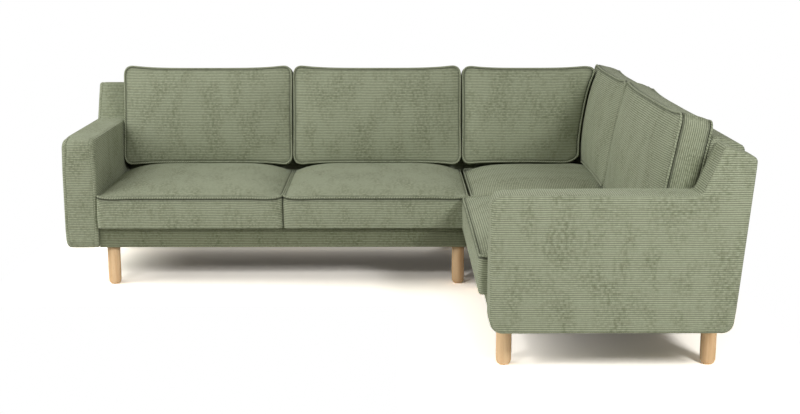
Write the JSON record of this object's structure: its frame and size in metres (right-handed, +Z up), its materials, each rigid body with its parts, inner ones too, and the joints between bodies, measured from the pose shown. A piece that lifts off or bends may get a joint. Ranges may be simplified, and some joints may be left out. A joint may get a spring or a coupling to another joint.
{
  "type": "sectional sofa",
  "caption": "L-shaped corner sofa in ribbed fabric: slim arms with raked rear posts, loose boxed seat and back cushions, and straight round wooden legs.",
  "frame": {"origin": "on the floor, in the middle of the plan", "axes": "+X along the two-seat section to the viewer's right, front towards -Y, +Z up"},
  "size_m": [2.6238, 2.1038, 0.9049],
  "materials": {
    "corduroy": "sage green ribbed pile",
    "leg_wood": "clear satin on pale hardwood",
    "frame_wood": "sawn softwood and plywood",
    "steel": "zinc plated",
    "webbing": "woven elastic",
    "lining": "black non-woven lining"
  },
  "bodies": {
    "sofa_frame": {"arm_bolts": "steel", "connector_stirrups": "steel", "connector_tongues": "steel", "end_back_bottom_rail": "frame_wood", "end_back_cover": "corduroy", "end_back_posts": "frame_wood", "end_back_top_rail": "frame_wood", "end_back_webbing": "webbing", "left_arm_cover": "corduroy", "left_arm_frame": "frame_wood", "leg_bolts": "steel", "leg_tee_nuts": "steel", "main_back_bottom_rail": "frame_wood", "main_back_cover": "corduroy", "main_back_posts": "frame_wood", "main_back_top_rail": "frame_wood", "main_back_webbing": "webbing", "main_base_cover": "corduroy", "main_cross_rails": "frame_wood", "main_dust_cover": "lining", "main_end_rails": "frame_wood", "main_front_legs": "leg_wood", "main_front_rail": "frame_wood", "main_leg_blocks": "frame_wood", "main_rear_legs": "leg_wood", "main_rear_rail": "frame_wood", "main_seat_webbing": "webbing", "return_arm_cover": "corduroy", "return_arm_frame": "frame_wood", "return_back_bottom_rail": "frame_wood", "return_back_cover": "corduroy", "return_back_posts": "frame_wood", "return_back_top_rail": "frame_wood", "return_back_webbing": "webbing", "return_base_cover": "corduroy", "return_cross_rails": "frame_wood", "return_dust_cover": "lining", "return_end_rails": "frame_wood", "return_front_legs": "leg_wood", "return_front_rail": "frame_wood", "return_leg_blocks": "frame_wood", "return_rear_legs": "leg_wood", "return_rear_rail": "frame_wood", "return_seat_webbing": "webbing"},
    "left_seat": {"seat_cushion_left": "corduroy"},
    "middle_seat": {"seat_cushion_middle": "corduroy"},
    "corner_seat": {"seat_cushion_corner": "corduroy"},
    "return_seat": {"seat_cushion_return": "corduroy"},
    "left_back": {"back_cushion_left": "corduroy"},
    "middle_back": {"back_cushion_middle": "corduroy"},
    "corner_back": {"back_cushion_corner": "corduroy"},
    "far_return_back": {"back_cushion_return_far": "corduroy"},
    "near_return_back": {"back_cushion_return_near": "corduroy"}
  },
  "joints": [
    {"name": "left_seat_lift", "type": "slide", "parent": "sofa_frame", "child": "left_seat", "axis": [0, 0, 1], "range_m": [0, 0.4]},
    {"name": "middle_seat_lift", "type": "slide", "parent": "sofa_frame", "child": "middle_seat", "axis": [0, 0, 1], "range_m": [0, 0.4]},
    {"name": "corner_seat_lift", "type": "slide", "parent": "sofa_frame", "child": "corner_seat", "axis": [0, 0, 1], "range_m": [0, 0.4]},
    {"name": "return_seat_lift", "type": "slide", "parent": "sofa_frame", "child": "return_seat", "axis": [0, 0, 1], "range_m": [0, 0.4]},
    {"name": "left_back_lift", "type": "slide", "parent": "left_seat", "child": "left_back", "axis": [0, 0.184, 0.9829], "range_m": [0, 0.45]},
    {"name": "middle_back_lift", "type": "slide", "parent": "middle_seat", "child": "middle_back", "axis": [0, 0.184, 0.9829], "range_m": [0, 0.45]},
    {"name": "corner_back_lift", "type": "slide", "parent": "corner_seat", "child": "corner_back", "axis": [0, 0.184, 0.9829], "range_m": [0, 0.45]},
    {"name": "far_return_back_lift", "type": "slide", "parent": "corner_seat", "child": "far_return_back", "axis": [0.184, 0, 0.9829], "range_m": [0, 0.45]},
    {"name": "near_return_back_lift", "type": "slide", "parent": "return_seat", "child": "near_return_back", "axis": [0.184, 0, 0.9829], "range_m": [0, 0.45]}
  ]
}
